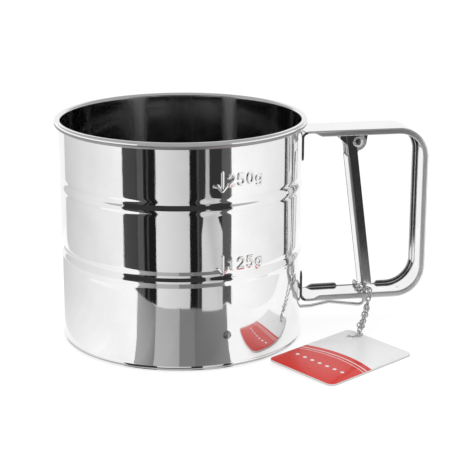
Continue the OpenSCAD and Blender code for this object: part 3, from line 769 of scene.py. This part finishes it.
def handle_line():
    """Outer line of the strip as (x, z, inward normal x, z), from the upper tab round to the lower tab."""
    wall_x = CUP_R + WALL_GAP
    line = []

    def straight(p, q, normal, step):
        for t in np.linspace(0, 1, max(2, int(dist(p, q) / step)), endpoint=False):
            line.append((p[0] + (q[0] - p[0]) * t, p[1] + (q[1] - p[1]) * t, *normal))

    def bend(cx, cz, r, start, end, count):
        for a in np.linspace(start, end, count, endpoint=False):
            c, s = cos(radians(a)), sin(radians(a))
            line.append((cx + r * c, cz + r * s, -c, -s))

    tab, corner = TAB_BEND_R, GRIP_CORNER_R
    straight((wall_x, HANDLE_TOP - TAB_LEN), (wall_x, HANDLE_TOP - tab), (1, 0), TAB_STEP)
    bend(wall_x + tab, HANDLE_TOP - tab, tab, 180, 90, TAB_BEND_STEPS)
    straight((wall_x + tab, HANDLE_TOP), (GRIP_X - corner, HANDLE_TOP), (0, -1), BAR_STEP)
    bend(GRIP_X - corner, HANDLE_TOP - corner, corner, 90, 0, CORNER_STEPS)
    straight((GRIP_X, HANDLE_TOP - corner), (GRIP_X, HANDLE_Z + corner), (-1, 0), GRIP_STEP)
    bend(GRIP_X - corner, HANDLE_Z + corner, corner, 0, -90, CORNER_STEPS)
    straight((GRIP_X - corner, HANDLE_Z), (wall_x + tab, HANDLE_Z), (0, 1), BAR_STEP)
    bend(wall_x + tab, HANDLE_Z + tab, tab, -90, -180, TAB_BEND_STEPS)
    straight((wall_x, HANDLE_Z + tab), (wall_x, HANDLE_Z + TAB_LEN), (1, 0), TAB_STEP)
    line.append((wall_x, HANDLE_Z + TAB_LEN, 1, 0))
    return line


def ramp(value, low, high):
    t = min(1.0, max(0.0, (value - low) / (high - low)))
    return t * t * (3 - 2 * t)


def handle_section(rise_near, rise_far, half):
    """Cross section of the strip with turned-in edges, as (across, depth), round from its outer face."""
    out = []
    for side, rise in ((1, rise_far), (-1, rise_near)):
        deep = STRIP_T + rise * (EDGE_H - STRIP_T)
        r, tip_r = min(EDGE_R, deep / 2), STRIP_T / 2
        inner, tip = half - STRIP_T, deep - tip_r
        foot = min(EDGE_FOOT_R, max(EDGE_HOLD, (tip - STRIP_T) / 2))
        edge = [(half - r - EDGE_HOLD, 0.0)]
        edge += [(half - r + r * cos(a), r + r * sin(a))
                 for a in np.linspace(-pi / 2, 0, FOLD_POINTS)]
        edge += [(half - tip_r + tip_r * cos(a), max(STRIP_T * sin(a), tip + tip_r * sin(a)))
                 for a in np.linspace(0, pi / 2, TIP_POINTS)]
        edge += [(half - tip_r + tip_r * cos(a), max(STRIP_T, tip + tip_r * sin(a)))
                 for a in np.linspace(pi / 2, pi, TIP_POINTS)[1:]]
        edge += [(inner, max(STRIP_T, tip - EDGE_HOLD)), (inner, STRIP_T + foot + EDGE_HOLD * rise)]
        edge += [(inner - foot + foot * cos(a), STRIP_T + foot - foot * sin(a))
                 for a in np.linspace(0, pi / 2, FOOT_POINTS)]
        edge += [(inner - foot - EDGE_HOLD, STRIP_T)]
        out += [(side * y, d) for y, d in (edge if side > 0 else edge[::-1])]
    return out


def edge_rises(x, z):
    """How far the near and the far edge are turned in at a place, from 0 to 1."""
    near = ramp(x, CUP_R + EDGE_START + RISE_FROM, CUP_R + EDGE_START + RISE_TO)
    far = near
    if z < HANDLE_Z + STRIP_T:
        before = ramp(x, NOTCH_FROM - NOTCH_SLOPE, NOTCH_FROM)
        after = ramp(x, NOTCH_TO, NOTCH_TO + NOTCH_SLOPE)
        far = max(near * (1 - before * (1 - after)), near * NOTCH_LIP)
    return near, far


def half_width(to_end):
    """Half of the strip's width, with its ends' corners rounded off."""
    half = HANDLE_W / 2
    if to_end < TAB_CORNER_R:
        half -= TAB_CORNER_R - sqrt(max(0.0, TAB_CORNER_R ** 2 - (TAB_CORNER_R - to_end) ** 2))
    return half


def make_handle():
    line = handle_line()
    steps = [dist(a[:2], b[:2]) for a, b in zip(line, line[1:])]
    runs = np.concatenate([[0], np.cumsum(steps)])
    points = []
    for (x, z, nx, nz), run in zip(line, runs):
        section = handle_section(*edge_rises(x, z), half_width(min(run, runs[-1] - run)))
        on_wall = 1 - ramp(x, CUP_R + WALL_FROM, CUP_R + WALL_TO)
        for y, depth in section:
            curve = on_wall * (sqrt(CUP_R ** 2 - y ** 2) - CUP_R)
            points.append((x + depth * nx + curve, y, z + depth * nz))
    count = len(section)
    faces = [face[::-1] for face in grid_faces(len(line), count, wrap_cols=True)]
    faces.append(tuple(range(count)))
    faces.append(tuple(range(len(points) - 1, len(points) - 1 - count, -1)))
    piece = make("handle_loop", (points, faces), [handle_steel, rolled_steel, tab_shade_steel],
                 "handle_strip", sharp=HANDLE_SHARP)
    for poly in piece.data.polygons:
        spots = [v % count for v in poly.vertices]
        if len(spots) == 4 and (max(spots) <= EDGE_SIDE or min(spots) >= count - 1 - EDGE_SIDE):
            # Turned-in edges take the rolled steel, and those at the tabs take painted shade
            poly.material_index = 2 if poly.center.x < (CUP_R + TAB_DARK) * MM else 1
    cut_slot(piece)


def cut_slot(piece):
    """Long hole in the lower bar for the upright end of the drive wire."""
    r = WIRE_D / 2 + SLOT_CLEAR
    turns = np.linspace(0, pi, SLOT_POINTS)
    loop = [(WIRE_X - r * sin(a), r * cos(a)) for a in turns]
    loop += [(WIRE_X + STROKE + r * sin(a), -r * cos(a)) for a in turns]
    n = len(loop)
    levels = (HANDLE_Z - SLOT_BELOW, HANDLE_Z + SLOT_ABOVE)
    faces = [tuple(range(n - 1, -1, -1)), tuple(range(n, 2 * n))] + grid_faces(2, n, wrap_cols=True)
    points = [(x, y, z) for z in levels for x, y in loop]
    cutter = put("slot_cutter", new_mesh("slot_cutter", points, faces))
    change = piece.modifiers.new("slot", "BOOLEAN")
    change.object = cutter
    change.operation = "DIFFERENCE"
    change.solver = "EXACT"
    bake(piece)
    bpy.data.objects.remove(cutter)
    smooth_all(piece.data, HANDLE_SHARP)
    keep_flats(piece)


make_handle()


# Drive wire, from its hook in the stirrer to its end in the trigger's foot
WIRE_ROUTE = [(-STROKE / 2, 22, 4.61), (-STROKE / 2, 22, 7.06), (32, 0, 7.06), (56, 0, 7.06), (64, 0, 8.56),
              (WIRE_X, 0, 6.06), (WIRE_X, 0, 23.09), (WIRE_X, 3, 23.09)]
WIRE_BEND_R, WIRE_STEP, WIRE_SIDES = 3.0, 0.6, 16
wire_line = resample(rounded(WIRE_ROUTE, WIRE_BEND_R), WIRE_STEP)
make("drive_wire_piece", tube(wire_line, WIRE_D / 2, WIRE_SIDES), [wire_steel], "drive_wire",
     body="wire")


# Spring: a coil round the pin, with a short leg under the handle and a long one down the trigger
SPRING_TOP_LEG, SPRING_LOW_LEG = 4, 14
SPRING_POINTS, SPRING_STEP, SPRING_SIDES = 40, 0.5, 8


def spring_line():
    start, end = pi / 2, pi + LEAN + 2 * pi * SPRING_TURNS
    count = SPRING_POINTS * SPRING_TURNS
    coil = []
    for i in range(count + 1):
        a = start + (end - start) * i / count
        coil.append((PIN[0] + SPRING_R * cos(a), SPRING_SPAN * (i / count - 0.5),
                     PIN[1] + SPRING_R * sin(a)))
    top = (PIN[0] + SPRING_TOP_LEG, -SPRING_SPAN / 2, PIN[1] + SPRING_R)
    x, y, z = coil[-1]
    foot = (x + SPRING_LOW_LEG * sin(LEAN), y, z - SPRING_LOW_LEG * cos(LEAN))
    upper, lower = np.array([top, coil[0]]), np.array([coil[-1], foot])
    return np.vstack([resample(upper, SPRING_STEP)[:-1], coil, resample(lower, SPRING_STEP)[1:]])


spring_shape = tube(spring_line(), SPRING_D / 2, SPRING_SIDES)
spring = make("spring_coil", spring_shape, [wire_steel], "trigger_spring", body=None)
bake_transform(spring)


# Woven screen
SCREEN_PITCH, SCREEN_WIRE_R, SCREEN_R, SCREEN_Z = 1.7, 0.22, 48.4, 2.99
# Each wire's rise and fall over the wires that it crosses, and half the length of the shortest wire
SCREEN_CRIMP, SHORTEST_HALF, SCREEN_SIDES = 0.16, 3, 5


def make_screen():
    lanes = int(SCREEN_R / SCREEN_PITCH)
    shapes = []
    for k in range(-lanes, lanes + 1):
        off = k * SCREEN_PITCH
        half = sqrt(SCREEN_R ** 2 - off ** 2)
        if half < SHORTEST_HALF:
            continue
        steps = int(2 * half / (SCREEN_PITCH / 2))
        t = np.linspace(-half, half, steps)
        lift = SCREEN_CRIMP * np.cos(pi * (t / SCREEN_PITCH) + pi * k)
        across = np.full(steps, off)
        for wire in ([t, across, SCREEN_Z + lift], [across, t, SCREEN_Z - lift]):
            shapes.append(tube(np.stack(wire, 1), SCREEN_WIRE_R, SCREEN_SIDES, round_ends=False))
    make("woven_screen", joined(shapes), [mesh_steel], "sieve_screen")


make_screen()


# Rivets: low domes on the wall, with their inner ends, as (distance from the cup's axis, radius)
RIVET_OUTLINE = [(46.4, 0.0), (46.45, 1.2), (46.7, 1.65), (47.36, 1.7), (48.1, 1.7), (48.1, 1.2),
                 (50.0, 1.2), (49.98, 1.75), (50.25, 1.75), (50.5, 1.6), (50.7, 1.25), (50.8, 0.7),
                 (50.82, 0.0)]
RIVET_AZIMUTHS, RIVET_Z, RIVET_POINTS = (-77.5, 102.5), 14.11, 20
UP = np.array([0, 0, 1.0])


def make_rivets():
    shapes = []
    for azimuth in RIVET_AZIMUTHS:
        c, s = cos(radians(azimuth)), sin(radians(azimuth))
        way, side = np.array([c, s, 0]), np.array([-s, c, 0])
        shapes.append(lathe(RIVET_OUTLINE, UP * RIVET_Z, way, side, UP, RIVET_POINTS))
    make("rivet_heads", joined(shapes), [rivet_steel], "bridge_rivets", sharp=60)


make_rivets()


# Trigger pin: a shank with a domed head on the near side, as (place along Y, radius)
PIN_OUTLINE = [(-6.15, 0.0), (-6.12, 0.7), (-6.02, 1.3), (-5.84, 1.8), (-5.6, 2.15), (-5.36, 2.3),
               (-5.3, 2.25), (-5.3, 1.2), (6.0, 1.2), (6.2, 1.0), (6.2, 0.0)]
PIN_POINTS = 28
pin_middle = np.array([PIN[0], 0, PIN[1]])
pin_shape = lathe(PIN_OUTLINE, pin_middle, np.array([0, 1.0, 0]), np.array([1.0, 0, 0]), UP, PIN_POINTS)
make("trigger_pin_piece", pin_shape, [wire_steel], "trigger_pin", sharp=50)


# Trigger: the ear behind its near side is duller than its faces; its folds and the outer strips of its
# front face are rougher and darker, which is painted shade
LEVER_BEVEL = 0.2
# Where the ear starts, back from the pin, and ends, down from it, and where the folds end along Y
EAR_BACK, EAR_LOW = -0.7, 4.5
FOLD_NEAR, FOLD_FAR = -3.8, 3.0
# A face looks straight one way over the first of these; a fold's faces look ahead and aside over the others
STRAIGHT, AHEAD, ASIDE = 0.97, 0.05, 0.1


def make_lever():
    back = Vector((cos(LEAN), 0, sin(LEAN)))
    pin_at = Vector((PIN[0], 0, PIN[1]))
    cuts = [(pin_at + back * EAR_BACK, back), ((0, FOLD_NEAR, 0), (0, 1, 0)), ((0, FOLD_FAR, 0), (0, 1, 0))]
    piece = refined("trigger_lever", lever_steel, "trigger", LEVER_BEVEL, cuts=cuts)
    piece.data.materials.append(ear_steel)
    piece.data.materials.append(fold_shade_steel)
    for poly in piece.data.polygons:
        spot, way = Vector(poly.center) / MM, poly.normal
        ahead = -way.dot(back)
        fold = ahead > AHEAD and abs(way.y) > ASIDE
        margin = ahead > STRAIGHT and not FOLD_NEAR < spot.y < FOLD_FAR
        behind = (spot - pin_at).dot(back) > EAR_BACK and spot.z > PIN[1] - EAR_LOW
        if way.y < -STRAIGHT and behind:
            poly.material_index = 1
        elif fold or margin:
            poly.material_index = 2


make_lever()


# Plates and turned pieces: the solids with their edges rounded
for node, material, body, slot, bevel in (
        ("pivot_bracket", lever_steel, "shaker", "polished_steel", 0.15),
        ("agitator", sheet_steel, "stirrer", "polished_steel", 0.15),
        ("bridge_bar", sheet_steel, "shaker", "polished_steel", 0.2),
        ("screen_ring", sheet_steel, "shaker", "plain_steel", 0.1),
        ("pin_retainer", wire_steel, "shaker", "plain_steel", 0.25),
        ("pivot_pin", wire_steel, "shaker", "plain_steel", 0.2),
        ("pivot_spacer", wire_steel, "shaker", "plain_steel", 0.15),
        ("pivot_washer", wire_steel, "shaker", "plain_steel", 0.1)):
    refined(node, material, body, bevel)


# Stage: places are right of the view line and away from the camera, azimuths are degrees right of that line
# Table's outline, a wider floor a little below it, and the floor's paper
TABLE = [(-140, -118), (-78, -118), (0, -126), (73, -106), (92, -60), (112, -25), (140, 0), (140, 140),
         (-140, 140)]
ROOM = [(-1500, -1500), (1500, -1500), (1500, 1500), (-1500, 1500)]
ROOM_Z = -0.2
PAPER_PALE, PAPER_DARK, PAPER_GRAIN = 0.88, 0.86, 300.0
# The floor's glow, its share of what shows, and the distances from the cup's axis between which it comes up
FLOOR_GLOW, FLOOR_SHARE, FADE_FROM, FADE_TO = 1.12, 0.75, CUP_R - 3, CUP_R + 1


def in_row_frame(x, y):
    c, s = cos(radians(VIEW_TURN)), sin(radians(VIEW_TURN))
    return x * c + y * s, -x * s + y * c


def on_circle(azimuth, r):
    return r * sin(radians(azimuth)), -r * cos(radians(azimuth))


def stage_plane(name, corners, material):
    points = [(*in_row_frame(x, y), z) for x, y, z in corners]
    plane = put(name, new_mesh(name, points, [tuple(range(len(corners)))]))
    plane.data.materials.append(material)
    return plane


def floor_material():
    n = new_material("floor_paper")
    place = n.place()
    colour = n.mix(n.noise(place, PAPER_GRAIN), grey(PAPER_PALE), grey(PAPER_DARK))
    diffuse = n.add("BsdfDiffuse", {"Color": colour})[0]
    glow = n.add("Emission", {"Strength": FLOOR_GLOW})[0]
    away = n.add("VectorMath", {0: place}, operation="LENGTH")["Value"]
    open_floor = n.ranged(away, FADE_FROM * MM, FADE_TO * MM, 0.0, FLOOR_SHARE)
    shown = n.math("MULTIPLY", n.seen(), open_floor)
    n.output(n.add("MixShader", {0: shown, 1: diffuse, 2: glow})[0])
    n.owner.cycles.emission_sampling = "NONE"
    return n.owner


def card_material():
    n = new_material("card")
    tone = n.add("Attribute", attribute_name="tone")["Fac"]
    n.output(n.add("Emission", {"Strength": tone})[0])
    n.owner.cycles.emission_sampling = "NONE"
    return n.owner


paper, card_paint = floor_material(), card_material()
stage_plane("floor_table", [(x, y, 0) for x, y in TABLE], paper)
room = stage_plane("floor_room", [(x, y, ROOM_Z) for x, y in ROOM], paper)
room.visible_glossy = False


def card(name, corners, tones):
    """Flat studio card that only shows in reflections."""
    plane = stage_plane(name, corners, card_paint)
    layer = plane.data.attributes.new("tone", "FLOAT", "POINT")
    layer.data.foreach_set("value", tones)
    for ray in ("camera", "diffuse", "shadow", "transmission"):
        setattr(plane, "visible_" + ray, False)


# Studio cards round the cup, in flat strips of about so many degrees
CARD_R, CARD_STEP = 900, 12
# Each card's two azimuths, bottom and top, tones at its two sides, and how much closer it stands
CARDS = (
    ("card_front", -54.8, 46, -700, 560, 0.035, 0.035, 0),
    ("card_front_left", -54.8, -41.2, -700, 20, 0.075, 0.06, 10),
    ("card_front_grey", -40.6, -34.6, -700, 20, 0.1, 0.1, 10),
    ("card_front_gap", -34.6, -14, -700, 20, 0.012, 0.012, 10),
    ("card_front_line", -31.4, -30.2, -700, 20, 0.07, 0.07, 20),
    ("card_front_black", 3, 14, -700, 20, 0.011, 0.011, 10),
    ("card_front_thin", 14, 15.4, -700, 20, 0.08, 0.08, 10),
    ("card_front_right", 36.8, 46, -700, 20, 0.1, 0.12, 10),
    ("card_mid", -21.1, 6.5, -300, 60, 0.8, 0.62, 680),
    ("card_front_high", -54.8, 46, 560, 900, 0.42, 0.42, 0),
    ("card_rim_low", -110, 82, 86, 91, 0.42, 0.42, 830),
    ("card_rim_left", -110, -24, 91, 103, 1.15, 1.15, 830),
    ("card_rim_mid", -24, 28, 91, 103, 0.42, 0.42, 830),
    ("card_rim_right", 28, 82, 91, 103, 1.15, 1.15, 830),
    ("card_lever", 18, 34, -700, -232, 0.17, 0.17, 5),
    ("card_right", 46, 112, -700, 300, 1.08, 0.85, 0),
    ("card_right_high", 46, 150, 300, 900, 0.5, 0.5, 0),
    ("card_stripe", 110.6, 120, -700, 100, 0.07, 0.09, 0),
    ("card_stripe_gap", 120, 124, -700, 100, 0.35, 0.35, 0),
    ("card_stripe_back", 124, 132, -700, 100, 0.08, 0.1, 0),
    ("card_left", -140, -54.8, -700, 300, 0.64, 1.0, 0),
    ("card_left_high", -150, -56, 300, 900, 0.5, 0.5, 0),
    ("card_back", 178, 192, -700, -60, 0.06, 0.06, 0),
)


def curved_card(name, a0, a1, inner, outer, tone0, tone1):
    """Flat strips in an arc, each between an inner and an outer (radius, height)."""
    steps = max(1, round((a1 - a0) / CARD_STEP))
    for k in range(steps):
        b0, b1 = (a0 + (a1 - a0) * s / steps for s in (k, k + 1))
        t0, t1 = (tone0 + (tone1 - tone0) * s / steps for s in (k, k + 1))
        corners = ((b0, inner), (b1, inner), (b1, outer), (b0, outer))
        card(f"{name}_{k}", [(*on_circle(a, r), z) for a, (r, z) in corners], [t0, t1, t1, t0])


for name, a0, a1, low, high, tone0, tone1, closer in CARDS:
    curved_card(name, a0, a1, (CARD_R - closer, low), (CARD_R - closer, high), tone0, tone1)

# A tapered grey card for the streak on the right of the cup, as (azimuth, height, tone)
STREAK_R = 120
STREAK = ((14.5, -10, 0.68), (30.2, -10, 0.68), (30.2, 36, 0.68), (26, 44, 0.62), (20.4, 54, 0.5),
          (20.2, 80, 0.42), (17.5, 80, 0.42), (17.4, 54, 0.5), (15.8, 44, 0.62), (14.5, 36, 0.68))
card("card_streak", [(*on_circle(a, STREAK_R), z) for a, z, _ in STREAK], [tone for _, _, tone in STREAK])

# A round grey card overhead
OVER_R, OVER_Z, OVER_SIDES, OVER_TONE = 1000, 900, 12, 0.45
card("card_over", [(*on_circle(360 / OVER_SIDES * k, OVER_R), OVER_Z) for k in range(OVER_SIDES)],
     [OVER_TONE] * OVER_SIDES)

# Grey paper on the table in front of the cup, with its tone at the left and at the right
PAPER_Z = 0.3
PAPERS = (
    ("paper_left", 0.42, 0.22, [(-21.3, -46.9), (-12.9, -49.9), (-44, -120), (-84, -118)]),
    ("paper_mid", 0.48, 0.39, [(-12.9, -49.9), (-1.7, -51.5), (-5, -125), (-44, -120)]),
    ("paper_gap", 0.22, 0.22, [(-1.7, -51.5), (5.2, -51.2), (19, -123), (-5, -125)]),
    ("paper_right", 0.17, 0.27, [(5.2, -51.2), (20.9, -47.1), (70, -105), (19, -123)]),
)
for name, tone0, tone1, corners in PAPERS:
    card(name, [(x, y, PAPER_Z) for x, y in corners], [tone0, tone1, tone1, tone0])

# A slow change of tone on the table to the left of the cup
SHADE_Z, SHADE_IN, SHADE_OUT = 0.2, 55, 140
curved_card("table_left", -145, -49, (SHADE_IN, SHADE_Z), (SHADE_OUT, SHADE_Z), 0.62, 1.06)


# World and lamps
WORLD_LIGHT, WORLD_SEEN = 0.75, 1.0
LAMP_AIM = Vector((0.02, 0, 0.03))


def make_world():
    scene.world = bpy.data.worlds.new("world")
    n = Nodes(scene.world)
    level = n.ranged(n.seen(), 0.0, 1.0, WORLD_LIGHT, WORLD_SEEN)
    n.output(n.add("Background", {"Color": grey(1), "Strength": level})[0], "OutputWorld")


def make_lamp(name, place, size, power):
    data = bpy.data.lights.new(name, "AREA")
    data.size = size
    data.energy = power
    lamp = put(name, data)
    lamp.location = place
    lamp.rotation_euler = (LAMP_AIM - Vector(place)).to_track_quat("-Z", "Y").to_euler()
    lamp.visible_glossy = False


make_world()
make_lamp("soft_left", (-0.55, -0.45, 0.75), 0.6, 2.2)
make_lamp("soft_top", (0.25, 0.15, 0.95), 0.7, 2.2)
